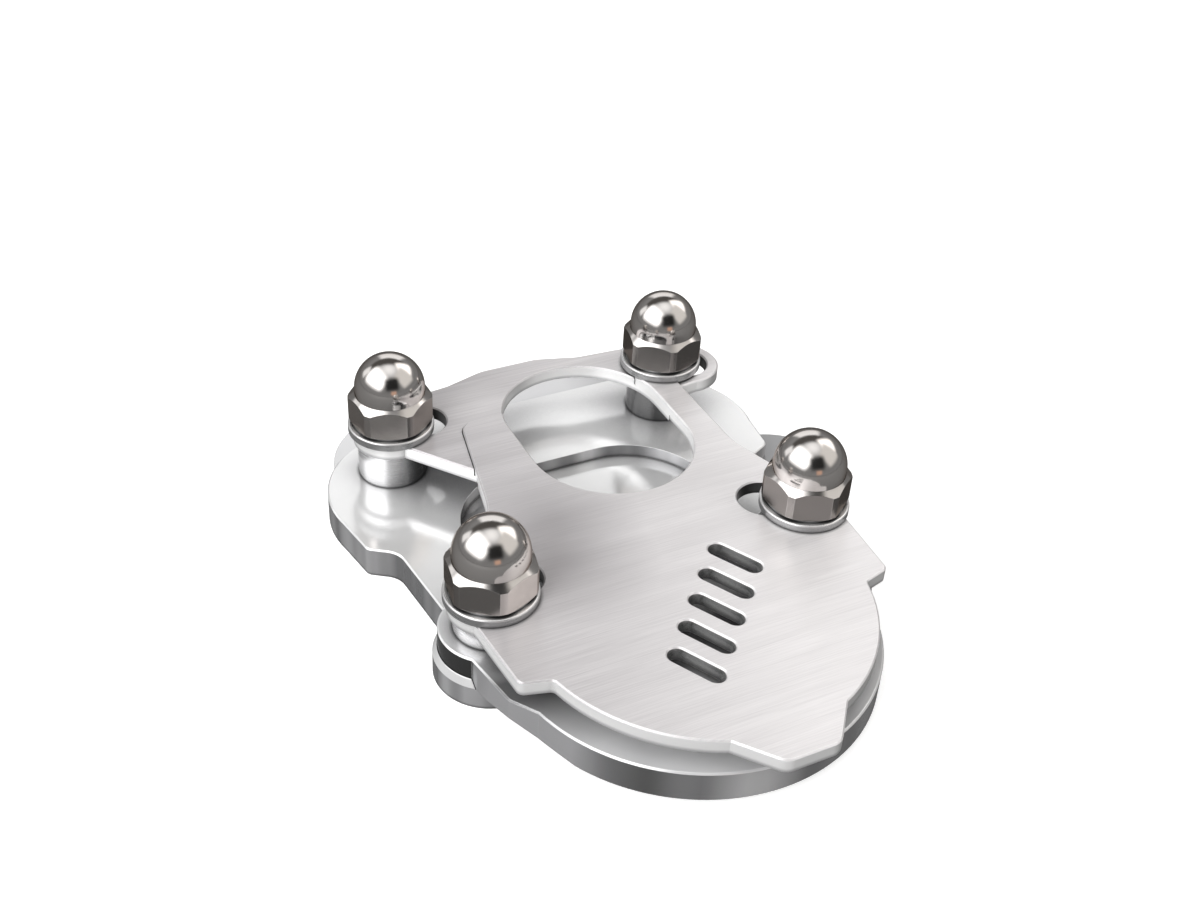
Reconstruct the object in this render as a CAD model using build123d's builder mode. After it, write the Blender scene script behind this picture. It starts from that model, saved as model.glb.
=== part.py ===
from build123d import *
import math
import os

os.makedirs("parts", exist_ok=True)

# Bolt pattern: origin in its middle, on the ground, +Y to the rear
front_bolt_x = 27.8
rear_bolt_x = 26.4
bolt_y = 23.6
front_left = (-front_bolt_x, -bolt_y)
front_right = (front_bolt_x, -bolt_y)
rear_left = (-rear_bolt_x, bolt_y)
rear_right = (rear_bolt_x, bolt_y)

# Levels and thicknesses
base_t = 5.5
ledge_t = 2.0
recess_floor = 3.7
riser_t = 5.3
riser_top = recess_floor + riser_t
rear_spacer_h = 6.6
front_spacer_h = 3.6
plate_t = 2.4
tongue_t = 1.7
front_plate_z = riser_top + front_spacer_h
front_plate_top = front_plate_z + plate_t
rear_plate_z = base_t + rear_spacer_h
rear_plate_top = rear_plate_z + plate_t
lap_z = front_plate_top - tongue_t

# Fasteners, M8, with the bolt's play in its nut and in its holes
bolt_d = 7.9
nut_play, hole_play = 0.1, 0.5
nut_bore_d = bolt_d + nut_play
bolt_hole_d = bolt_d + hole_play
slot_w = 8.8
head_rim = 3.25
head_d = bolt_d + 2 * head_rim
head_land = 0.2
head_recess = 0.2
socket_af = 5.0
socket_depth = 2.2
bolt_in_nut = 8.0
bolt_tip = 0.8
spacer_d = 11.8
washer_d = 14.8
washer_t = 1.4
washer_round = 0.35
lock_d = 13.0
lock_t = 0.4
lock_split = 0.7
nut_af = 13.0
nut_corner_d = 14.38
nut_face_d = 13.2
nut_foot = 0.4
nut_hex_h = 5.6
nut_crown = 1.07
dome_d = 12.0
dome_centre = 6.5
nut_bore_depth = 9.2

# Fits and edge breaks
fit = 0.1
seat_gap = 0.15
edge = 0.25

# Base plate
left_lobe_x, right_lobe_x = 4.4 - rear_bolt_x, rear_bolt_x - 3.4
lobe_y, lobe_r = bolt_y - 7.2, 17.8
lobe_tangent = 14.0
front_lobe_r = 9.0
lobe_slope_w, lobe_slope_h = 0.9, 1.6
waist_x, waist_y = 33.5, 1.5
flank_x, right_flank_x, flank_y = 37.9, 39.3, 4.4
ledge_x, ledge_y, ledge_r = 18.0, bolt_y + 4.4, 17.1
side_ear_x, side_ear_y, side_ear_r = 39.0, 0.5, 11.3
pocket_r = 15.0
pocket_left, pocket_right = -7.0, 9.0
pocket_depth = 2.4

# Front riser
ear_r = 8.2
riser_arc_y, riser_arc_r = -36.1, 29.7
shoulder_x, shoulder_y = 31.7, -39.3
shoulder_in_x = 28.8
bevel_from = (-26.2, -50.0)
bevel_to = (-33.0, -32.0)
bevel_w, bevel_h = 2.8, 3.3

# Front clamp plate
plate_ear_r = 6.8
nose_x, nose_y = 4.4, -70.0
nose_root_x, nose_root_y = 9.6, -63.7
brow_x, brow_y = 20.6, -55.6
cheek_x, cheek_y = 26.7, -43.6
plate_shoulder_x, plate_shoulder_y = 31.5, -42.3
throat_x, throat_r = 6.5, 14.4
throat_front_y, throat_back_y = 4.5, 15.0
throat_wall_x = -6.6
left_arm_x, left_arm_tip = -19.9, (-15.3, 19.3)
right_arm_x, arm_bend_y = 26.3, -3.5
pad_r = 6.2
vent_w, vent_l, vent_pitch = 3.0, 9.6, 6.3
vent_at = (2.0, -39.8)
vent_row_angle = 46.7
vent_lean = 72.0

# Rear clamp plate
rear_end_r = 6.5
rear_pad_r = 7.2
strap_left_x, strap_left_y = -16.2, 4.2
strap_in_x, strap_right_y = 18.0, 9.6
back_y = bolt_y + 10.2
back_step_x, back_step_y = 13.0, bolt_y + 8.0
back_flat_x = 5.5


def by(bolt, x, y):
    # a point set off from a bolt axis
    return (bolt[0] + x, bolt[1] + y)


# Far end of each adjusting slot
front_slots = {front_left: by(front_left, 4.9, 2.1), front_right: by(front_right, -5.1, 4.2)}
rear_slots = {rear_left: by(rear_left, 5.4, -0.3), rear_right: by(rear_right, 4.3, -1.3)}


def near(builder, points):
    # the vertices of a sketch in progress that lie closest to the given points
    return [builder.vertices().sort_by_distance((x, y, 0))[0] for x, y in points]


def riser_outline(grow):
    # plan of the front riser, grown by a clearance for its recess
    arc_x = shoulder_in_x
    arc_y = riser_arc_y - math.sqrt(riser_arc_r**2 - arc_x**2)
    with BuildSketch() as plan:
        with BuildLine():
            Polyline(
                (arc_x, arc_y), (shoulder_x, shoulder_y), by(front_right, 5.8, -5.0),
                by(front_right, -4.3, 6.1), by(front_left, 4.3, 6.1), by(front_left, -5.8, -5.0),
                (-shoulder_x, shoulder_y), (-arc_x, arc_y),
            )
            ThreePointArc((-arc_x, arc_y), (0, riser_arc_y - riser_arc_r), (arc_x, arc_y))
        make_face()
        fillet(near(plan, [(-shoulder_x, shoulder_y), (shoulder_x, shoulder_y)]), 1.2)
        with Locations(front_left, front_right):
            Circle(ear_r)
        if grow:
            offset(amount=grow)
    return plan.sketch


def left_arm(grow):
    # arm of the front clamp plate to the left of the throat, with its rounded tongue
    with BuildSketch() as plan:
        with BuildLine():
            root = by(front_left, 1.8, 6.0)
            Polyline(
                root, (left_arm_x, arm_bend_y), left_arm_tip, (throat_wall_x, left_arm_tip[1]),
                (throat_wall_x, root[1]), close=True,
            )
        make_face()
        fillet(near(plan, [(left_arm_x, arm_bend_y)]), 20)
        fillet(near(plan, [left_arm_tip]), 3.0)
        if grow:
            offset(amount=grow)
    return plan.sketch


def right_arm(grow):
    # arm of the front clamp plate to the right of the throat, with the pad under the rear washer
    with BuildSketch() as plan:
        with BuildLine():
            root = by(front_right, 3.5, 5.4)
            inner_x = throat_x + throat_r - 1.9
            Polyline(
                root, (right_arm_x, arm_bend_y), (right_arm_x, bolt_y), by(rear_right, -6.0, 0),
                (inner_x, throat_back_y + 2), (inner_x, root[1]), close=True,
            )
        make_face()
        fillet(near(plan, [(right_arm_x, arm_bend_y)]), 14)
        with Locations(rear_right):
            Circle(pad_r)
        if grow:
            offset(amount=grow)
    return plan.sketch


def throat_outline():
    # round-ended opening shared by both clamp plates
    with BuildSketch() as plan:
        with Locations((throat_x, throat_front_y), (throat_x, throat_back_y)):
            Circle(throat_r)
        with Locations((throat_x, (throat_front_y + throat_back_y) / 2)):
            Rectangle(2 * throat_r, throat_back_y - throat_front_y)
    return plan.sketch


def slot_between(start, end):
    # adjusting slot from a bolt to its far end
    middle = ((start[0] + end[0]) / 2, (start[1] + end[1]) / 2)
    length = math.dist(start, end)
    angle = math.degrees(math.atan2(end[1] - start[1], end[0] - start[0]))
    with BuildSketch() as plan:
        with Locations(middle):
            SlotCenterToCenter(length, slot_w, rotation=angle)
    return plan.sketch


def upright(spot, z):
    # vertical drawing plane through a bolt axis: local x is +X, local y is +Z
    return Plane(origin=(spot[0], spot[1], z), x_dir=(1, 0, 0), z_dir=(0, -1, 0))


# Base plate
with BuildPart() as base_plate:
    with BuildSketch() as deck:
        with BuildLine():
            reach = lobe_r * math.cos(math.radians(lobe_tangent))
            side_y = lobe_y - lobe_r * math.sin(math.radians(lobe_tangent))
            Polyline(
                (left_lobe_x, lobe_y + lobe_r), (left_lobe_x - reach, side_y), (-flank_x, flank_y),
                (-waist_x, waist_y),
                by(front_left, -4.0, 8.0), by(front_left, 0, -front_lobe_r),
                by(front_right, 0, -front_lobe_r), by(front_right, 4.0, 8.0),
                (waist_x, waist_y), (right_flank_x, flank_y), (right_lobe_x + reach, side_y),
                (right_lobe_x, lobe_y + lobe_r), close=True,
            )
        make_face()
        fillet(near(deck, [(-flank_x, flank_y), (right_flank_x, flank_y)]), 1.6)
        fillet(near(deck, [(-waist_x, waist_y), (waist_x, waist_y)]), 4.0)
        with Locations((left_lobe_x, lobe_y), (right_lobe_x, lobe_y)):
            Circle(lobe_r)
    extrude(amount=base_t)
    chamfer(base_plate.edges().group_by(Axis.Z)[-1], edge)
    with BuildSketch():
        with Locations(front_left, front_right):
            Circle(front_lobe_r)
    extrude(amount=base_t - lobe_slope_h)
    for spot in (front_left, front_right):
        with Locations((spot[0], spot[1], base_t - lobe_slope_h)):
            Cone(
                front_lobe_r, front_lobe_r - lobe_slope_w, lobe_slope_h,
                align=(Align.CENTER, Align.CENTER, Align.MIN),
            )
    with BuildSketch():
        with Locations((-ledge_x, ledge_y), (ledge_x, ledge_y)):
            Circle(ledge_r)
        with Locations((0, ledge_y)):
            Rectangle(2 * ledge_x, 2 * ledge_r)
        with Locations((side_ear_x, side_ear_y)):
            Circle(side_ear_r)
    extrude(amount=ledge_t)
    with BuildSketch(Plane.XY.offset(recess_floor)):
        add(riser_outline(fit))
    extrude(amount=base_t, mode=Mode.SUBTRACT)
    with BuildSketch(Plane.XY.offset(base_t)):
        with Locations(((pocket_left + pocket_right) / 2, 0)):
            SlotCenterToCenter(pocket_right - pocket_left, 2 * pocket_r)
    extrude(amount=-pocket_depth, mode=Mode.SUBTRACT)
    for spot in (front_left, front_right, rear_left, rear_right):
        sink_r = head_d / 2 + fit
        sink_z = head_recess + head_land - fit / 2
        with BuildSketch(upright(spot, 0)):
            with BuildLine():
                Polyline(
                    (0, 0), (sink_r, 0), (sink_r, sink_z), (bolt_hole_d / 2, sink_z + sink_r - bolt_hole_d / 2),
                    (bolt_hole_d / 2, base_t), (0, base_t), close=True,
                )
            make_face()
        revolve(axis=Axis((spot[0], spot[1], 0), (0, 0, 1)), mode=Mode.SUBTRACT)
base_plate.part.label = "base_plate"
export_step(base_plate.part, "parts/base_plate.step")


# Front riser, let into the base
with BuildPart() as front_riser:
    with BuildSketch(Plane.XY.offset(recess_floor)):
        add(riser_outline(0))
    extrude(amount=riser_t)
    chamfer(front_riser.edges().group_by(Axis.Z)[-1], edge)
    left_bevel = (bevel_from, bevel_to)
    right_bevel = ((-bevel_to[0], bevel_to[1]), (-bevel_from[0], bevel_from[1]))
    for start, end in (left_bevel, right_bevel):
        run_x, run_y = end[0] - start[0], end[1] - start[1]
        section = Plane(
            origin=(start[0], start[1], recess_floor), x_dir=(-run_y, run_x, 0), z_dir=(run_x, run_y, 0)
        )
        with BuildSketch(section):
            with BuildLine():
                Polyline((0, 0), (2 * bevel_w, 2 * bevel_h), (2 * bevel_w, -1), (0, -1), close=True)
            make_face()
        extrude(amount=math.dist(start, end), mode=Mode.SUBTRACT)
    with BuildSketch(Plane.XY.offset(riser_top)):
        with Locations(front_left, front_right):
            Circle(bolt_hole_d / 2)
    extrude(amount=-riser_t, mode=Mode.SUBTRACT)
front_riser.part.label = "front_riser"
export_step(front_riser.part, "parts/front_riser.step")


# Front clamp plate, with both arms half-lapped over the rear plate
with BuildPart() as front_clamp_plate:
    with BuildSketch(Plane.XY.offset(front_plate_z)) as face:
        with BuildLine():
            Line((-nose_x, nose_y), (nose_x, nose_y))
            Line((nose_x, nose_y), (nose_root_x, nose_root_y))
            ThreePointArc((nose_root_x, nose_root_y), (brow_x, brow_y), (cheek_x, cheek_y))
            Polyline(
                (cheek_x, cheek_y), (plate_shoulder_x, plate_shoulder_y), by(front_right, 4.8, -4.4),
                by(front_right, 3.5, 5.4), (throat_x + throat_r - 1.9, throat_front_y),
                (throat_wall_x, throat_front_y), by(front_left, 1.8, 6.0), by(front_left, -4.8, -4.4),
                (-plate_shoulder_x, plate_shoulder_y), (-cheek_x, cheek_y),
            )
            ThreePointArc((-cheek_x, cheek_y), (-brow_x, brow_y), (-nose_root_x, nose_root_y))
            Line((-nose_root_x, nose_root_y), (-nose_x, nose_y))
        make_face()
        fillet(near(face, [(-nose_x, nose_y), (nose_x, nose_y)]), 2.5)
        fillet(near(face, [(-plate_shoulder_x, plate_shoulder_y), (plate_shoulder_x, plate_shoulder_y)]), 1.3)
        fillet(near(face, [(-cheek_x, cheek_y), (cheek_x, cheek_y)]), 1.0)
        with Locations(front_left, front_right):
            Circle(plate_ear_r)
        add(left_arm(0))
        add(right_arm(0))
        add(throat_outline(), mode=Mode.SUBTRACT)
        with Locations(rear_right):
            Circle(bolt_hole_d / 2, mode=Mode.SUBTRACT)
        for bolt, end in front_slots.items():
            add(slot_between(bolt, end), mode=Mode.SUBTRACT)
        with Locations(Location((vent_at[0], vent_at[1], 0), (0, 0, vent_row_angle))):
            with GridLocations(vent_pitch, 0, 5, 1):
                SlotOverall(vent_l, vent_w, rotation=vent_lean, mode=Mode.SUBTRACT)
    extrude(amount=plate_t)
    chamfer(front_clamp_plate.edges().group_by(Axis.Z)[-1], edge)
    with BuildSketch(Plane.XY.offset(front_plate_z)):
        with Locations((left_arm_tip[0], strap_left_y - 2 * fit)):
            Rectangle(20, bolt_y, align=(Align.CENTER, Align.MIN))
        with Locations((right_arm_x, strap_right_y - 2 * fit)):
            Rectangle(20, bolt_y, align=(Align.CENTER, Align.MIN))
    extrude(amount=lap_z - front_plate_z, mode=Mode.SUBTRACT)
front_clamp_plate.part.label = "front_clamp_plate"
export_step(front_clamp_plate.part, "parts/front_clamp_plate.step")


# Rear clamp plate, milled where the arms of the front plate lie on it
with BuildPart() as rear_clamp_plate:
    with BuildSketch(Plane.XY.offset(rear_plate_z)) as strap:
        with BuildLine():
            Polyline(
                by(rear_left, 0, rear_end_r), (-back_step_x, back_step_y), (-back_flat_x, back_y),
                (back_flat_x, back_y), (back_step_x, back_step_y), by(rear_right, 0, rear_pad_r),
                by(rear_right, 4.6, 5.1), by(rear_right, 5.1, -7.6), by(rear_right, 0, -8.2),
                (throat_x + throat_r, strap_right_y), (strap_in_x, strap_right_y),
                (strap_in_x, throat_back_y), (throat_wall_x, throat_back_y), (throat_wall_x, strap_left_y),
                (strap_left_x, strap_left_y), by(rear_left, -0.4, -5.85), close=True,
            )
        make_face()
        fillet(near(strap, [(-back_step_x, back_step_y), (back_step_x, back_step_y)]), 6.0)
        fillet(near(strap, [(-back_flat_x, back_y), (back_flat_x, back_y)]), 8.0)
        fillet(near(strap, [(strap_left_x, strap_left_y)]), 2.0)
        with Locations(rear_left, rear_slots[rear_right]):
            Circle(rear_end_r)
        with Locations(rear_right):
            Circle(rear_pad_r)
        add(throat_outline(), mode=Mode.SUBTRACT)
        for bolt, end in rear_slots.items():
            add(slot_between(bolt, end), mode=Mode.SUBTRACT)
    extrude(amount=plate_t)
    chamfer(rear_clamp_plate.edges().group_by(Axis.Z)[-1], edge)
    with BuildSketch(Plane.XY.offset(lap_z)):
        add(left_arm(seat_gap))
        add(right_arm(seat_gap))
    extrude(amount=plate_t, mode=Mode.SUBTRACT)
rear_clamp_plate.part.label = "rear_clamp_plate"
export_step(rear_clamp_plate.part, "parts/rear_clamp_plate.step")


# Fasteners: name, bolt axis, what the spacer stands on, its height, washer seat, nut corner angle
stations = [
    ("front_left", front_left, riser_top, front_spacer_h, front_plate_top, 22.0),
    ("front_right", front_right, riser_top, front_spacer_h, front_plate_top, 35.7),
    ("rear_left", rear_left, base_t, rear_spacer_h, rear_plate_top, 37.7),
    ("rear_right", rear_right, base_t, rear_spacer_h, front_plate_top, 18.8),
]

for name, spot, foot_z, spacer_h, washer_z, corner_angle in stations:
    axis = Axis((spot[0], spot[1], 0), (0, 0, 1))
    lock_z = washer_z + washer_t
    nut_z = lock_z + lock_t

    with BuildPart() as spacer:
        with BuildSketch(Plane((spot[0], spot[1], foot_z))):
            Circle(spacer_d / 2)
            Circle(bolt_hole_d / 2, mode=Mode.SUBTRACT)
        extrude(amount=spacer_h)
    spacer.part.label = f"{name}_spacer"
    export_step(spacer.part, f"parts/{name}_spacer.step")

    with BuildPart() as washer:
        with BuildSketch(Plane((spot[0], spot[1], washer_z))):
            Circle(washer_d / 2)
            Circle(bolt_hole_d / 2, mode=Mode.SUBTRACT)
        extrude(amount=washer_t)
        fillet(washer.edges().group_by(Axis.Z)[-1].sort_by(SortBy.RADIUS)[-1], washer_round)
    washer.part.label = f"{name}_flat_washer"
    export_step(washer.part, f"parts/{name}_flat_washer.step")

    with BuildPart() as lock_washer:
        with BuildSketch(Plane((spot[0], spot[1], lock_z))):
            Circle(lock_d / 2)
            Circle(bolt_hole_d / 2, mode=Mode.SUBTRACT)
            with Locations((0, lock_d / 2)):
                Rectangle(lock_split, lock_d, rotation=-20, mode=Mode.SUBTRACT)
        extrude(amount=lock_t)
    lock_washer.part.label = f"{name}_lock_washer"
    export_step(lock_washer.part, f"parts/{name}_lock_washer.step")

    with BuildPart() as nut:
        with BuildSketch(Plane((spot[0], spot[1], nut_z))):
            RegularPolygon(nut_af / math.sqrt(3), 6, rotation=corner_angle)
        extrude(amount=dome_centre + dome_d)
        with BuildSketch(upright(spot, nut_z)):
            with BuildLine():
                Polyline(
                    (0, dome_centre + dome_d / 2), (0, 0), (nut_face_d / 2, 0),
                    (nut_corner_d / 2, nut_foot), (nut_corner_d / 2, nut_hex_h - nut_crown),
                    (dome_d / 2, nut_hex_h), (dome_d / 2, dome_centre),
                )
                CenterArc((0, dome_centre), dome_d / 2, 0, 90)
            make_face()
        revolve(axis=axis, mode=Mode.INTERSECT)
        with BuildSketch(Plane((spot[0], spot[1], nut_z))):
            Circle(nut_bore_d / 2)
        extrude(amount=nut_bore_depth, mode=Mode.SUBTRACT)
    nut.part.label = f"{name}_acorn_nut"
    export_step(nut.part, f"parts/{name}_acorn_nut.step")

    with BuildPart() as bolt:
        head_z = head_recess + head_land
        tip_z = nut_z + bolt_in_nut
        with BuildSketch(upright(spot, 0)):
            with BuildLine():
                Polyline(
                    (0, head_recess), (head_d / 2, head_recess), (head_d / 2, head_z),
                    (bolt_d / 2, head_z + head_d / 2 - bolt_d / 2), (bolt_d / 2, tip_z - bolt_tip),
                    (bolt_d / 2 - bolt_tip, tip_z), (0, tip_z), close=True,
                )
            make_face()
        revolve(axis=axis)
        with BuildSketch(Plane((spot[0], spot[1], head_recess))):
            RegularPolygon(socket_af / math.sqrt(3), 6)
        extrude(amount=socket_depth, mode=Mode.SUBTRACT)
    bolt.part.label = f"{name}_clamp_bolt"
    export_step(bolt.part, f"parts/{name}_clamp_bolt.step")
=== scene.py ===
import math

import bpy
from mathutils import Euler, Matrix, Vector

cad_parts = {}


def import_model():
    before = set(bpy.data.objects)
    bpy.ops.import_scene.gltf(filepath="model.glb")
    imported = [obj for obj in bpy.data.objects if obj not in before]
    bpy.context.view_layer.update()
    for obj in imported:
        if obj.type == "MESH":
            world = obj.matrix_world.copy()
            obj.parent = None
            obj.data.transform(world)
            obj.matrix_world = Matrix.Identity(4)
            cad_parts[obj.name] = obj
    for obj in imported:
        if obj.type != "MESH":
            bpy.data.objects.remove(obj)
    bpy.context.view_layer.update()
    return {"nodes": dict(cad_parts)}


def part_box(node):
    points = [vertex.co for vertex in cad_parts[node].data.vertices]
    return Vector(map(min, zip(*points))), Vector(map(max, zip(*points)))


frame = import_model()
nodes = frame["nodes"]
MM = 0.001

# Photographed view: where the lens stood, what it pointed at, its tilt and its focal length
CAMERA_AT = (-0.09465, -0.17806, 0.16600)
CAMERA_AIM = (0.01339, 0.02087, 0.0)
CAMERA_ROLL = math.radians(3.5)
LENS_MM = 44.91
SENSOR_MM = 36.0

CORNERS = ("front_left", "front_right", "rear_left", "rear_right")
FRONT, REAR = CORNERS[:2], CORNERS[2:]

# Slots round the bolts: how far each one's far end lies from its bolt, in millimetres
SLOT_ENDS = {
    "front_left": (4.9, 2.1),
    "front_right": (-5.1, 4.2),
    "rear_left": (5.4, -0.3),
    "rear_right": (4.3, -1.3),
}
# A slot's own walls lie nearer to its middle line than the first of these, all other walls past
# the second, in millimetres
SLOT_WALLS = (4.65, 4.9)

# Height of the base's low rear ledge and side ear, in millimetres
LEDGE_TOP = 2.0

# Distances from a bolt's axis, in millimetres, for the painted shade on the riser's ears and for the
# nut's dome: each thing fills the first and is gone past the second
EAR_TOP = (10.0, 12.0)
EAR_WALL = (8.25, 8.6)
NUT_DOME = (6.15, 6.4)

# Greys of painted reflection on each nut's wrench flats: the ones that face left and the ones that
# face right
FLAT_REFLECTIONS = {
    "front_left": (0.38, 0.86),
    "front_right": (0.29, 0.31),
    "rear_left": (0.60, 0.31),
    "rear_right": (0.27, 0.27),
}

# Rings turned round each bolt: greys of walls and faces, which paint light and shade, range of
# roughness, how much of a metal, and how deep the painted shade on the side towards the middle of the
# object gets
RINGS = {
    "washer": {"wall": 0.40, "face": 0.90, "rough": (0.24, 0.34), "metallic": 0.8},
    "spacer": {"wall": 0.84, "face": 0.84, "rough": (0.18, 0.28), "metallic": 0.8, "inner": 0.92},
    "bolt": {"wall": 0.42, "face": 0.50, "rough": (0.25, 0.38)},
}

# How far a surface's own colour gives way to painted shade at most
DEEPEST_SHADE = 0.92
# Rays per point for the painted shade in joints and for the rounded edges
SHADE_SAMPLES = 8
EDGE_SAMPLES = 6

# Places of the colours A and B and of the result on a Mix node that is set to colours
MIX_A, MIX_B, MIX_RESULT = 6, 7, 2

# Floor: its width, its grey and glow to the camera, and its grey as the metal mirrors it
FLOOR_SIZE = 6.0
FLOOR_SEEN, FLOOR_GLOW, FLOOR_MIRRORED = 0.8, 0.52, 0.16

# Soft lamps: place, the point that each one faces and its power in watts
LAMP_SIZE = (0.30, 0.24)
LAMPS = (
    ("front_left_softbox", (-0.42, -0.26, 0.30), (0, -0.02, 0), 2.3),
    ("front_right_softbox", (0.30, -0.42, 0.30), (0, -0.04, 0), 0.9),
)

# The room's grey level by the sine of the elevation
SKY = ((0.0, 0.22), (0.20, 0.20), (0.80, 0.32), (0.93, 0.70), (1.0, 1.10))

# Azimuth and elevation of each panel, its half-angles, its softness and its colour.
# Azimuth 0 is the rear of the object (+Y), 90 its right; the camera stands at -152, 36
PANELS = (
    ("rear flag", 20, 55, 42, 15, 0.15, (0.08, 0.075, 0.07)),
    ("rear window", 24, 26, 19, 14, 0.08, (1.05, 1.05, 1.05)),
    ("left softbox", -96, 44, 34, 25, 0.22, (2.2, 2.2, 2.2)),
    ("far left wall", -42, 22, 9, 12, 0.08, (1.0, 1.0, 1.0)),
    ("right softbox", 85, 45, 17, 20, 0.12, (1.8, 1.75, 1.7)),
    ("right wall", 126, 42, 24, 25, 0.14, (0.75, 0.73, 0.70)),
    ("camera side", -171, 39, 23, 21, 0.18, (0.02, 0.02, 0.02)),
    ("warm wall", -174, 10, 8, 6, 0.06, (0.60, 0.38, 0.28)),
)


def rgb(r, g, b):
    return (r, g, b, 1.0)


def grey(level):
    return rgb(level, level, level)


WHITE = grey(1.0)
# Painted shade inside the slots
SLOT_SHADE = grey(0.02)


class Tree:
    """A node tree with short calls for its nodes. A value is a number, vector, colour or socket."""

    def __init__(self, owner):
        owner.use_nodes = True
        self.tree = owner.node_tree
        self.tree.nodes.clear()

    def node(self, kind, **settings):
        made = self.tree.nodes.new(kind)
        for key, value in settings.items():
            setattr(made, key, value)
        return made

    def link(self, source, target):
        self.tree.links.new(source, target)

    def feed(self, target, value):
        """Sets a socket to a value, or links it to another socket."""
        if isinstance(value, bpy.types.NodeSocket):
            self.link(value, target)
        else:
            target.default_value = value

    def math(self, operation, a, b=0.0):
        made = self.node("ShaderNodeMath", operation=operation)
        self.feed(made.inputs[0], a)
        self.feed(made.inputs[1], b)
        return made.outputs[0]

    def times(self, a, b):
        return self.math("MULTIPLY", a, b)

    def plus(self, a, b):
        return self.math("ADD", a, b)

    def dot(self, a, b):
        made = self.node("ShaderNodeVectorMath", operation="DOT_PRODUCT")
        self.feed(made.inputs[0], a)
        self.feed(made.inputs[1], b)
        return made.outputs["Value"]

    def span(self, value, low, high, to_low=0.0, to_high=1.0, curve="LINEAR"):
        """Maps low..high onto to_low..to_high and clamps it there."""
        made = self.node("ShaderNodeMapRange", interpolation_type=curve)
        self.feed(made.inputs["Value"], value)
        made.inputs["From Min"].default_value = low
        made.inputs["From Max"].default_value = high
        made.inputs["To Min"].default_value = to_low
        made.inputs["To Max"].default_value = to_high
        return made.outputs["Result"]

    def mix(self, factor, a, b):
        """Colour a where the factor is 0, b where it is 1."""
        made = self.node("ShaderNodeMix", data_type="RGBA")
        self.feed(made.inputs["Factor"], factor)
        self.feed(made.inputs[MIX_A], a)
        self.feed(made.inputs[MIX_B], b)
        return made.outputs[MIX_RESULT]


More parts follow.
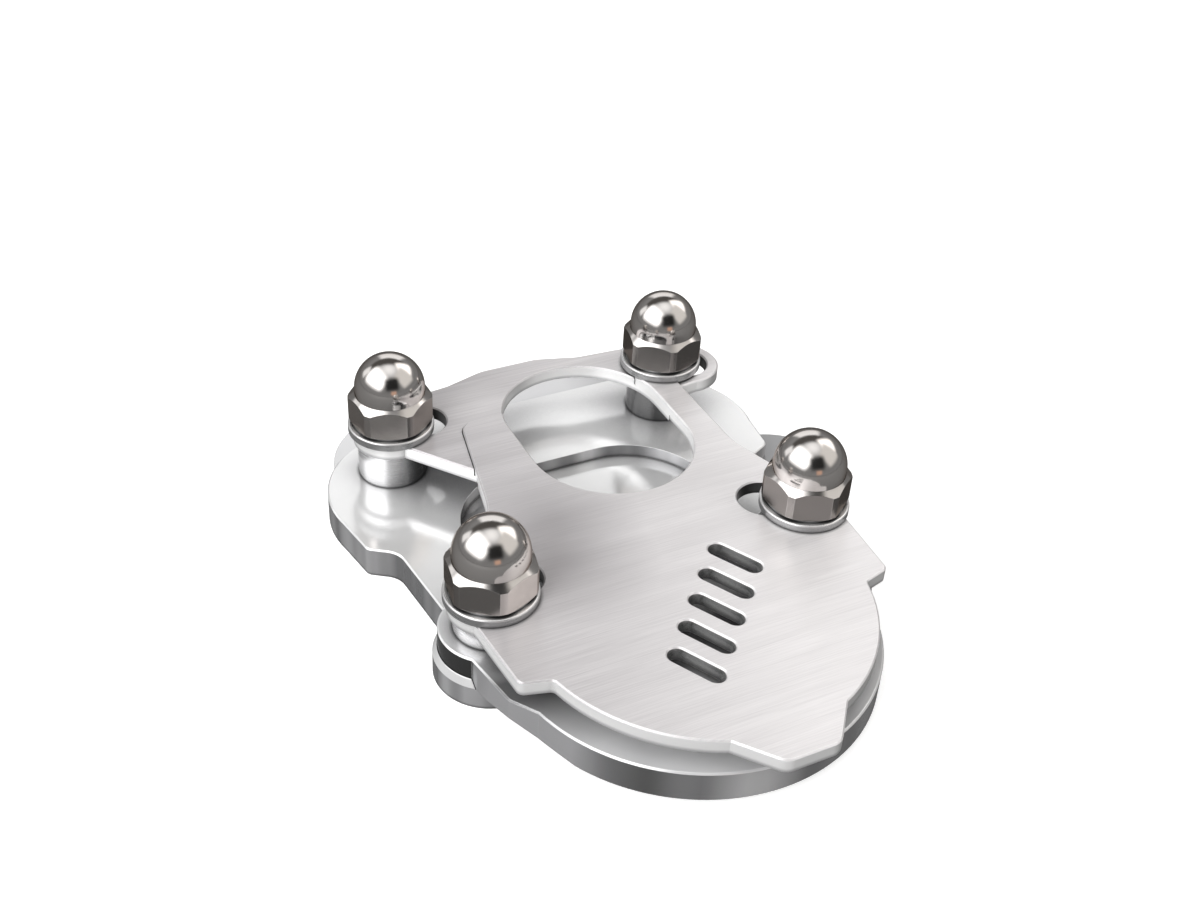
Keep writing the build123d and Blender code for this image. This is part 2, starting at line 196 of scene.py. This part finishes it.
class Finish(Tree):
    """A material of one Principled shader, with the masks that the metals share."""

    def __init__(self, name):
        self.material = bpy.data.materials.new(name)
        super().__init__(self.material)
        self.out = self.node("ShaderNodeOutputMaterial")
        self.shader = self.node("ShaderNodeBsdfPrincipled")
        self.link(self.shader.outputs["BSDF"], self.out.inputs["Surface"])

    def place(self):
        """Position in the object's own frame, in millimetres."""
        coords = self.node("ShaderNodeTexCoord")
        scaled = self.node("ShaderNodeVectorMath", operation="SCALE")
        self.link(coords.outputs["Object"], scaled.inputs[0])
        scaled.inputs["Scale"].default_value = 1 / MM
        return scaled.outputs[0]

    def shifted(self, vector, offset):
        moved = self.node("ShaderNodeVectorMath", operation="SUBTRACT")
        self.link(vector, moved.inputs[0])
        moved.inputs[1].default_value = offset
        return moved.outputs[0]

    def stretched(self, vector, scale, turn=0.0):
        """Coordinates turned about Z and scaled axis by axis, for grain."""
        mapping = self.node("ShaderNodeMapping")
        self.link(vector, mapping.inputs["Vector"])
        mapping.inputs["Rotation"].default_value = (0, 0, turn)
        mapping.inputs["Scale"].default_value = scale
        return mapping.outputs[0]

    def noise(self, vector, scale=1.0, detail=3.0, rough=0.55):
        texture = self.node("ShaderNodeTexNoise")
        self.link(vector, texture.inputs["Vector"])
        texture.inputs["Scale"].default_value = scale
        texture.inputs["Detail"].default_value = detail
        texture.inputs["Roughness"].default_value = rough
        return texture.outputs["Fac"]

    def vary(self, noise, low=0.0, high=1.0, swing=0.2):
        """Noise, which stays near a half, with the swing to both sides mapped onto low..high."""
        return self.span(noise, 0.5 - swing, 0.5 + swing, low, high)

    def parts(self, vector):
        made = self.node("ShaderNodeSeparateXYZ")
        self.link(vector, made.inputs[0])
        return made.outputs["X"], made.outputs["Y"], made.outputs["Z"]

    def radius(self, vector):
        """Distance from the Z axis of these coordinates."""
        x, y, _ = self.parts(vector)
        return self.math("SQRT", self.plus(self.times(x, x), self.times(y, y)))

    def near(self, vector, spots, inner, outer):
        """1 within the inner radius of the upright line at any of these spots, 0 past the outer."""
        mask = 0.0
        for x, y in spots:
            disc = self.span(self.radius(self.shifted(vector, (x, y, 0))), inner, outer, 1, 0)
            mask = self.math("MAXIMUM", disc, mask)
        return mask

    def facing(self):
        """How far the true surface faces right, back and up: 1 in full, 0 across, -1 away."""
        return self.parts(self.node("ShaderNodeNewGeometry").outputs["Normal"])

    def by_height(self, wall, face, level):
        """The wall's colour on upright surfaces, the face's where the normal's rise passes level."""
        _, _, up = self.facing()
        return self.mix(self.span(up, 0.1, level), wall, face)

    def rounded(self, radius):
        """Normal with edges softened by this radius in millimetres."""
        bevel = self.node("ShaderNodeBevel", samples=EDGE_SAMPLES)
        bevel.inputs["Radius"].default_value = radius * MM
        return bevel.outputs["Normal"]

    def edge_mask(self, radius):
        """1 near an edge within the radius in millimetres, 0 on open faces."""
        true_normal = self.node("ShaderNodeNewGeometry").outputs["Normal"]
        return self.span(self.dot(self.rounded(radius), true_normal), 0.9, 0.999, 1, 0)

    def crevice(self, reach, shut, open_, own=False):
        """Mask for painted shade in joints: high where walls within reach, in millimetres, shut out
        the light.
        """
        shade = self.node("ShaderNodeAmbientOcclusion", samples=SHADE_SAMPLES, only_local=own)
        shade.inputs["Distance"].default_value = reach * MM
        return self.span(shade.outputs["AO"], shut, open_, DEEPEST_SHADE, 0)

    def lit_edges_shaded_joints(self, color, radius, amount, highlight=WHITE, joint=0.9, joint_shade=0.04):
        """Colour with painted highlights on the edges and painted shade in thin dark lines where
        pieces meet.
        """
        color = self.mix(self.times(self.edge_mask(radius), amount), color, highlight)
        return self.mix(self.crevice(joint, shut=0.45, open_=0.85), color, grey(joint_shade))

    def bump(self, height, depth, edge):
        """Normal from a height times the depth, on edges softened by a radius, both in millimetres."""
        made = self.node("ShaderNodeBump")
        made.inputs["Distance"].default_value = depth * MM
        self.link(height, made.inputs["Height"])
        self.link(self.rounded(edge), made.inputs["Normal"])
        self.link(made.outputs["Normal"], self.shader.inputs["Normal"])

    def metal(self, color, roughness, anisotropy=0.0, metallic=1.0):
        """Metal whose reflections smear across strokes that run along X, where it is anisotropic."""
        self.shader.inputs["Metallic"].default_value = metallic
        self.shader.inputs["Anisotropic"].default_value = anisotropy
        if anisotropy:
            across = self.node("ShaderNodeTangent", direction_type="RADIAL", axis="X")
            self.link(across.outputs["Tangent"], self.shader.inputs["Tangent"])
        self.feed(self.shader.inputs["Base Color"], color)
        self.feed(self.shader.inputs["Roughness"], roughness)


def bolt_at(corner):
    """A bolt's place in plan, in millimetres."""
    low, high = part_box(corner + "_flat_washer")
    middle = (low + high) / 2 / MM
    return middle.x, middle.y


def from_bolt(corner, *offsets):
    """Places in plan, each given by how far it lies from this bolt to the right and to the back."""
    bolt_x, bolt_y = bolt_at(corner)
    return [(bolt_x + x, bolt_y + y) for x, y in offsets]


def slot_spots(corner):
    """Three places along a slot's middle line."""
    end_x, end_y = SLOT_ENDS[corner]
    return from_bolt(corner, *((end_x * part, end_y * part) for part in (0, 0.5, 1)))


def brushed_plate(piece, corners):
    """Clamp plate: face brushed from side to side; painted light and shade on face and walls; walls
    dark at the foot; painted shade inside the slots.
    """
    g = Finish(piece + "_finish")
    p = g.place()
    fine = g.noise(g.stretched(p, (0.07, 5.0, 1.0)), 1.0, 4.0, 0.7)
    broad = g.noise(g.stretched(p, (0.02, 0.35, 0.3)), 1.0, 2.0)
    cloud = g.noise(p, 0.05, 2.0)
    tone = g.vary(g.plus(g.times(fine, 0.7), g.times(broad, 0.3)), swing=0.12)

    # Painted shade to the rear left, painted light to the front right, where clear holds the lit face
    shaded_face = g.mix(tone, rgb(0.48, 0.46, 0.47), rgb(0.61, 0.59, 0.60))
    clear = g.mix(tone, rgb(0.80, 0.78, 0.785), rgb(0.92, 0.90, 0.905))
    face = g.mix(g.span(g.dot(p, (0.93, -0.37, 0)), -26, 28), shaded_face, clear)
    # Painted shade beside the front left nut, painted light at the left end of the strap
    painted_shade_spots = from_bolt("front_left", (16.3, 12.6), (13.8, 2.6))
    face = g.mix(g.times(g.near(p, painted_shade_spots, 1, 15), 0.54), face, rgb(0.31, 0.295, 0.305))
    painted_light_spots = from_bolt("rear_left", (14.4, 0.4))
    face = g.mix(g.times(g.near(p, painted_light_spots, 3, 10), 0.35), face, clear)

    right, _, _ = g.facing()
    _, _, z = g.parts(p)
    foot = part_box(piece)[0].z / MM
    # Painted light on walls that face left, painted shade on walls that face right
    wall = g.mix(g.span(right, -0.2, 0.5), WHITE, grey(0.62))
    wall = g.mix(g.span(z, foot, foot + 0.7, 0.75, 0), wall, rgb(0.25, 0.25, 0.26))
    # Painted shade deep in the slots and on the slot walls
    wall = g.mix(g.crevice(8.0, shut=0.62, open_=0.86, own=True), wall, SLOT_SHADE)
    spots = [spot for corner in corners for spot in slot_spots(corner)]
    wall = g.mix(g.times(g.near(p, spots, *SLOT_WALLS), 0.92), wall, SLOT_SHADE)

    # Painted highlights on the edges, painted shade where pieces meet
    color = g.lit_edges_shaded_joints(g.by_height(wall, face, 0.5), radius=0.13, amount=0.8)
    rough = g.plus(g.vary(fine, 0.30, 0.42), g.vary(cloud, -0.03, 0.04))
    g.metal(color, rough, anisotropy=0.7, metallic=0.5)
    g.bump(fine, depth=0.010, edge=0.12)
    return g.material


def nose_bands(g, p, wall, dark, pale):
    """Wall with a band of painted shade and one of painted light by the nose, placed from the front
    left bolt.
    """
    wall = g.mix(g.near(p, from_bolt("front_left", dark), 2, 8), wall, grey(0.13))
    return g.mix(g.near(p, from_bolt("front_left", pale), 2, 8), wall, rgb(0.62, 0.62, 0.625))


def buffed_base():
    """Base plate: buffed deck with painted shade under the clamp plates, walls in painted shade with
    soft upright bands.
    """
    g = Finish("buffed_base")
    p = g.place()
    haze = g.noise(p, 0.09)
    hair = g.noise(g.stretched(p, (0.06, 2.6, 2.6), math.radians(12)), 1.0, 5.0, 0.75)
    band = g.noise(g.stretched(p, (0.16, 0.16, 0.01)), 1.0, 1.0)

    deck = g.mix(g.vary(haze), rgb(0.90, 0.90, 0.905), grey(0.97))
    # Painted shade and painted reflection on the deck beneath the clamp plates
    deck = g.mix(g.crevice(13.0, shut=0.20, open_=0.78), deck, rgb(0.08, 0.08, 0.085))
    x, _, z = g.parts(p)
    # Painted light on the rear ledge, painted shade on the ear to its right
    ledge = g.mix(g.span(x, 15, 30), rgb(0.74, 0.74, 0.75), rgb(0.34, 0.34, 0.345))
    face = g.mix(g.span(z, LEDGE_TOP + 0.1, LEDGE_TOP + 0.4), ledge, deck)

    # Walls in painted shade, darker than the deck, with soft upright bands at random and painted bands
    # by the nose
    wall = g.mix(g.vary(band, swing=0.1), rgb(0.26, 0.26, 0.265), rgb(0.56, 0.56, 0.57))
    wall = nose_bands(g, p, wall, dark=(9.8, -35.4), pale=(22.8, -41.4))

    # Painted highlights on the edges, painted shade where pieces meet
    color = g.lit_edges_shaded_joints(g.by_height(wall, face, 0.4), radius=0.16, amount=0.8)
    rough = g.plus(g.vary(hair, 0.12, 0.16), g.vary(haze, -0.02, 0.03))
    g.metal(color, rough, metallic=0.55)
    _, _, up = g.facing()
    g.bump(g.times(hair, g.span(up, 0.5, 0.9)), depth=0.0015, edge=0.15)
    return g.material


def buffed_riser():
    """Front riser: pale rim with painted shade where the plate covers it, walls in painted shade, ears
    in painted shade darker than the walls.
    """
    g = Finish("buffed_riser")
    p = g.place()
    bolts = [bolt_at(corner) for corner in FRONT]
    haze = g.noise(p, 0.09)
    cloud = g.noise(p, 0.25)
    band = g.noise(g.stretched(g.shifted(p, (9.0, 0, 0)), (0.07, 0.07, 0.01)), 1.0, 1.0)

    # Painted shade on the rim: it grows from dark behind the ears to bright at the nose
    _, y, _ = g.parts(g.shifted(p, (*bolts[0], 0)))
    face = g.mix(g.vary(haze), rgb(0.88, 0.88, 0.89), rgb(0.97, 0.97, 0.975))
    covered = g.times(g.crevice(5.0, shut=0.04, open_=0.40), g.span(y, -36.4, -26.4))
    flank = g.times(g.span(y, -28.4, -16.4, 0.08, 0.82), g.span(y, -12.4, -6.4, 1, 0))
    for shade in (covered, flank):
        face = g.mix(shade, face, rgb(0.05, 0.05, 0.052))
    # Painted shade on the tops of the ears round the spacers
    ears = g.times(g.near(p, bolts, *EAR_TOP), g.crevice(6.0, shut=0.35, open_=0.74))
    face = g.mix(ears, face, grey(0.10))

    # Walls in painted shade with soft upright bands at random, painted bands by the nose and deeper
    # painted shade on the ears' walls
    wall = g.mix(g.vary(band, swing=0.1), rgb(0.21, 0.21, 0.215), rgb(0.47, 0.47, 0.48))
    wall = nose_bands(g, p, wall, dark=(9.8, -33.4), pale=(22.8, -40.4))
    wall = g.mix(g.near(p, bolts, *EAR_WALL), wall, grey(0.05))

    # Painted highlights on the edges, painted shade where pieces meet
    color = g.lit_edges_shaded_joints(g.by_height(wall, face, 0.4), radius=0.16, amount=0.8)
    rough = g.plus(g.vary(cloud, 0.12, 0.17), g.vary(haze, -0.02, 0.03))
    g.metal(color, rough, metallic=0.5)
    g.bump(haze, depth=0.001, edge=0.15)
    return g.material


def polished_nut(name, centre, left_tone, right_tone):
    """Domed nut: mirror dome with painted shade, satin wrench flats with painted reflections in two
    greys.
    """
    g = Finish(name)
    p = g.shifted(g.place(), (*centre, 0))
    swirl = g.noise(g.stretched(p, (0.9, 0.9, 5.0)))
    haze = g.noise(p, 0.35, 2.0)
    right, _, up = g.facing()

    upright = g.span(g.math("ABSOLUTE", up), 0.02, 0.12, 1, 0)
    flat = g.times(upright, g.span(g.radius(p), *NUT_DOME))
    warm = Vector((1.0, 0.94, 0.90))
    # Painted reflections on the wrench flats: one grey where they face left, one where they face right
    side = g.mix(g.span(right, -0.35, -0.1), rgb(*warm * left_tone), rgb(*warm * right_tone))
    side = g.mix(g.vary(haze, 0.2, 0), side, rgb(0.30, 0.28, 0.27))
    # Painted shade on the dome, deepest where other pieces stand close to it
    dome_shade = g.crevice(12.0, shut=0.40, open_=0.97)
    dome = g.mix(dome_shade, rgb(0.80, 0.765, 0.74), rgb(0.30, 0.275, 0.26))

    color = g.mix(flat, dome, side)
    # Painted highlights on the edges, painted shade where pieces meet
    color = g.lit_edges_shaded_joints(color, radius=0.16, amount=0.9, highlight=rgb(1.0, 0.98, 0.96), joint=0.8, joint_shade=0.03)
    rough = g.plus(g.times(flat, g.vary(swirl, 0.10, 0.14)), g.vary(haze, 0.10, 0.14))
    g.metal(color, rough)
    g.shader.inputs["Specular Tint"].default_value = rgb(0.50, 0.46, 0.43)
    g.bump(haze, depth=0.001, edge=0.12)
    return g.material


def turned_ring(name, centre, wall, face, rough, metallic=1.0, inner=0.0):
    """Washer, spacer or bolt: turned round its axis, with painted light and shade on walls and faces,
    and painted shade, as deep as inner, at its inward side.
    """
    g = Finish(name)
    p = g.shifted(g.place(), (*centre, 0))
    _, _, z = g.parts(p)
    profile = g.node("ShaderNodeCombineXYZ")
    g.link(g.radius(p), profile.inputs["X"])
    g.link(z, profile.inputs["Z"])
    rings = g.noise(g.stretched(profile.outputs[0], (6.0, 1.0, 6.0)), 1.0, 3.0, 0.7)
    spots = g.noise(p, 0.6)

    # Walls and faces in the greys of painted light and painted shade on one metal
    color = g.by_height(rgb(wall, wall, wall * 1.01), rgb(face, face * 0.99, face * 0.99), 0.5)
    color = g.mix(g.vary(rings, 0.14, 0), color, grey(0.4))
    # Painted shade where other pieces stand close
    color = g.mix(g.crevice(8.0, shut=0.18, open_=0.62), color, grey(0.06))
    # Painted shade on the side towards the middle of the object
    if inner:
        inward = -Vector((*centre, 0)).normalized()
        color = g.mix(g.span(g.dot(p, inward), 1.5, 5.6, 0, inner), color, grey(0.08))
    # Painted highlights on the edges, painted shade where pieces meet
    color = g.lit_edges_shaded_joints(color, radius=0.12, amount=0.5, joint=0.7)
    g.metal(color, g.plus(g.vary(rings, *rough), g.vary(spots, -0.02, 0.03)), metallic=metallic)
    g.bump(rings, depth=0.003, edge=0.1)
    return g.material


def dress():
    """Gives every piece its finish."""
    finishes = {
        "base_plate": buffed_base(),
        "front_riser": buffed_riser(),
        "front_clamp_plate": brushed_plate("front_clamp_plate", FRONT),
        "rear_clamp_plate": brushed_plate("rear_clamp_plate", REAR),
    }
    for corner in CORNERS:
        centre = bolt_at(corner)
        nut = polished_nut(corner + "_nut_finish", centre, *FLAT_REFLECTIONS[corner])
        washer, spacer, bolt = (
            turned_ring(f"{corner}_{ring}_finish", centre, **look) for ring, look in RINGS.items()
        )
        finishes[corner + "_acorn_nut"] = nut
        finishes[corner + "_flat_washer"] = washer
        finishes[corner + "_lock_washer"] = washer
        finishes[corner + "_spacer"] = spacer
        finishes[corner + "_clamp_bolt"] = bolt
    for name, finish in finishes.items():
        mesh = nodes[name].data
        mesh.materials.clear()
        mesh.materials.append(finish)


def floor():
    """Floor: white with the object's shadow to the camera, a dim table to the metal."""
    bpy.ops.mesh.primitive_plane_add(size=FLOOR_SIZE, location=(0, 0, 0))
    plane = bpy.context.object
    plane.name = "floor"
    g = Finish("floor_white")
    seen = g.node("ShaderNodeLightPath").outputs["Is Camera Ray"]
    g.feed(g.shader.inputs["Base Color"], g.mix(seen, grey(FLOOR_MIRRORED), grey(FLOOR_SEEN)))
    g.shader.inputs["Roughness"].default_value = 0.9
    g.shader.inputs["Specular IOR Level"].default_value = 0.0
    glow = g.node("ShaderNodeEmission")
    g.link(seen, glow.inputs["Strength"])
    glow.inputs["Color"].default_value = grey(FLOOR_GLOW)
    both = g.node("ShaderNodeAddShader")
    g.link(g.shader.outputs["BSDF"], both.inputs[0])
    g.link(glow.outputs["Emission"], both.inputs[1])
    g.link(both.outputs[0], g.out.inputs["Surface"])
    plane.data.materials.append(g.material)


def lamp(name, location, aim, power):
    """Soft rectangular lamp at a place, facing a point, that no surface mirrors."""
    data = bpy.data.lights.new(name, "AREA")
    data.shape = "RECTANGLE"
    data.size, data.size_y = LAMP_SIZE
    data.energy = power
    made = bpy.data.objects.new(name, data)
    bpy.context.scene.collection.objects.link(made)
    made.location = location
    made.rotation_euler = (Vector(aim) - Vector(location)).to_track_quat("-Z", "Y").to_euler()
    made.visible_glossy = False


class Room(Tree):
    """The studio round the object: a grey level by height, with soft panels of other greys."""

    def __init__(self):
        self.world = bpy.data.worlds.new("studio")
        super().__init__(self.world)
        self.direction = self.node("ShaderNodeTexCoord").outputs["Generated"]

    def sky(self):
        ramp = self.node("ShaderNodeValToRGB")
        elements = ramp.color_ramp.elements
        while len(elements) < len(SKY):
            elements.new(0.5)
        for element, (at, level) in zip(elements, SKY):
            element.position = at
            element.color = grey(level)
        self.link(self.dot(self.direction, (0, 0, 1)), ramp.inputs["Fac"])
        return ramp.outputs["Color"]

    def inside(self, value, half, soft):
        """1 where |value| is under half, falling to 0 over soft to both sides of it."""
        return self.span(self.math("ABSOLUTE", value), half - soft, half + soft, 1, 0, "SMOOTHSTEP")

    def panel(self, azimuth, elevation, wide, high, soft):
        """Mask of a soft-edged rectangle on the sky, sizes as half-angles in degrees."""
        yaw, pitch = math.radians(azimuth), math.radians(elevation)
        ahead = Vector((
            math.sin(yaw) * math.cos(pitch), math.cos(yaw) * math.cos(pitch), math.sin(pitch)
        ))
        side = Vector((math.cos(yaw), -math.sin(yaw), 0))
        above = side.cross(ahead)
        depth = self.dot(self.direction, ahead)
        # Directions behind the panel are kept out of the divisions here and out of the mask below
        divisor = self.math("MAXIMUM", depth, 0.001)
        across = self.math("DIVIDE", self.dot(self.direction, side), divisor)
        up = self.math("DIVIDE", self.dot(self.direction, above), divisor)
        mask = self.times(
            self.inside(across, math.tan(math.radians(wide)), soft),
            self.inside(up, math.tan(math.radians(high)), soft),
        )
        return self.times(mask, self.math("GREATER_THAN", depth, 0.01))


def world():
    """White to the camera, the studio room to everything else."""
    room = Room()
    color = room.sky()
    for _, azimuth, elevation, wide, high, soft, tone in PANELS:
        color = room.mix(room.panel(azimuth, elevation, wide, high, soft), color, rgb(*tone))
    around = room.node("ShaderNodeBackground")
    room.link(color, around.inputs["Color"])
    backdrop = room.node("ShaderNodeBackground")
    backdrop.inputs["Color"].default_value = WHITE
    shown = room.node("ShaderNodeMixShader")
    room.link(room.node("ShaderNodeLightPath").outputs["Is Camera Ray"], shown.inputs["Fac"])
    room.link(around.outputs[0], shown.inputs[1])
    room.link(backdrop.outputs[0], shown.inputs[2])
    out = room.node("ShaderNodeOutputWorld")
    room.link(shown.outputs[0], out.inputs["Surface"])
    bpy.context.scene.world = room.world


def camera():
    """The photographed view."""
    data = bpy.data.cameras.new("camera")
    data.sensor_fit = "HORIZONTAL"
    data.sensor_width = SENSOR_MM
    data.lens = LENS_MM
    data.clip_start = 0.01
    made = bpy.data.objects.new("camera", data)
    bpy.context.scene.collection.objects.link(made)
    facing = (Vector(CAMERA_AIM) - Vector(CAMERA_AT)).to_track_quat("-Z", "Y")
    made.location = CAMERA_AT
    made.rotation_euler = (facing @ Euler((0, 0, CAMERA_ROLL)).to_quaternion()).to_euler()
    bpy.context.scene.camera = made


dress()
floor()
for row in LAMPS:
    lamp(*row)
world()
camera()
bpy.context.scene.view_settings.view_transform = "Standard"
